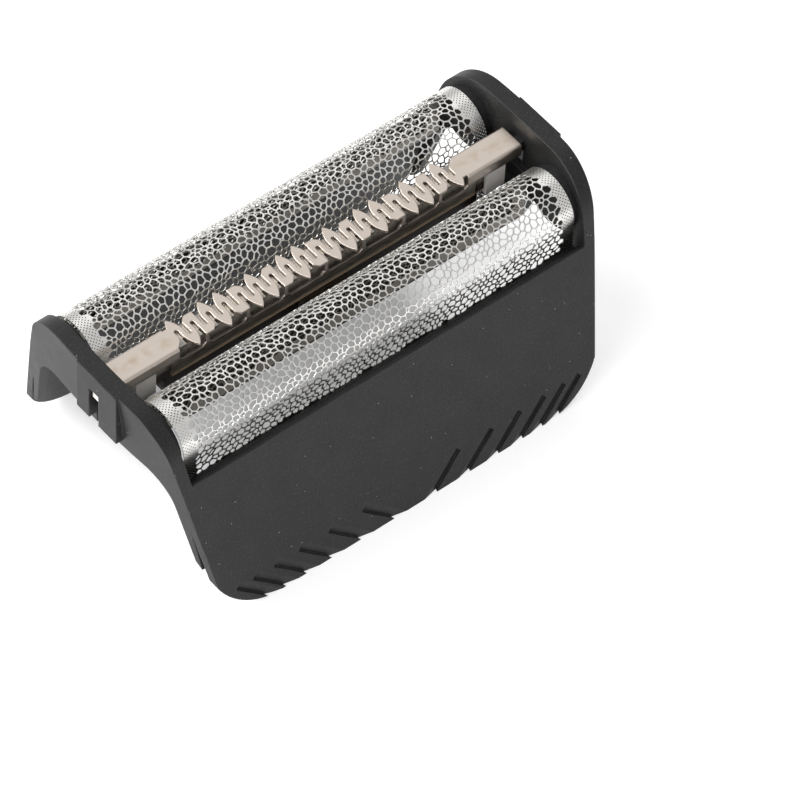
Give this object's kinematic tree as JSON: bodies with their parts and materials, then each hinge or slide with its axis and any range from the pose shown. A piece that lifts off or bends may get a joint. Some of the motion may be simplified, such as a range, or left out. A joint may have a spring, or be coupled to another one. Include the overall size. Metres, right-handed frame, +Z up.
{
  "type": "shaver foil head",
  "caption": "Push-fit shaver head: a flared plastic frame with grip flutes and arched end walls, holding twin perforated foils and a floating comb trimmer with a sliding blade between them.",
  "frame": {"origin": "centre of the base, in the plane of the skirts' lower edges", "axes": "+Z up out of the base towards the foils, +X along the foils, -Y towards the front skirt"},
  "size_m": [0.0528, 0.0316, 0.0239],
  "materials": {
    "frame_plastic": "fine-grained matte black",
    "foil_metal": "bright nickel, perforated",
    "comb_steel": "satin, warm",
    "blade_steel": "ground grey",
    "carrier_plastic": "matte black",
    "bracket_steel": "dull grey",
    "spring_steel": "drawn wire"
  },
  "bodies": {
    "head": {"frame": "frame_plastic", "front_foil": "foil_metal", "rear_foil": "foil_metal", "left_spring": "spring_steel", "right_spring": "spring_steel"},
    "floating_comb": {"trimmer_comb": "comb_steel", "left_bracket": "bracket_steel", "right_bracket": "bracket_steel"},
    "sliding_blade": {"trimmer_blade": "blade_steel", "blade_carrier": "carrier_plastic"}
  },
  "joints": [
    {"name": "trimmer_float", "type": "slide", "parent": "head", "child": "floating_comb", "axis": [0, 0, 1], "range_m": [-0.0015, 0], "stiffness_N_per_m": 300, "springref_m": 0.001, "deforming": ["left_spring", "right_spring"]},
    {"name": "blade_stroke", "type": "slide", "parent": "floating_comb", "child": "sliding_blade", "axis": [1, 0, 0], "range_m": [-0.0007, 0.0007]}
  ]
}
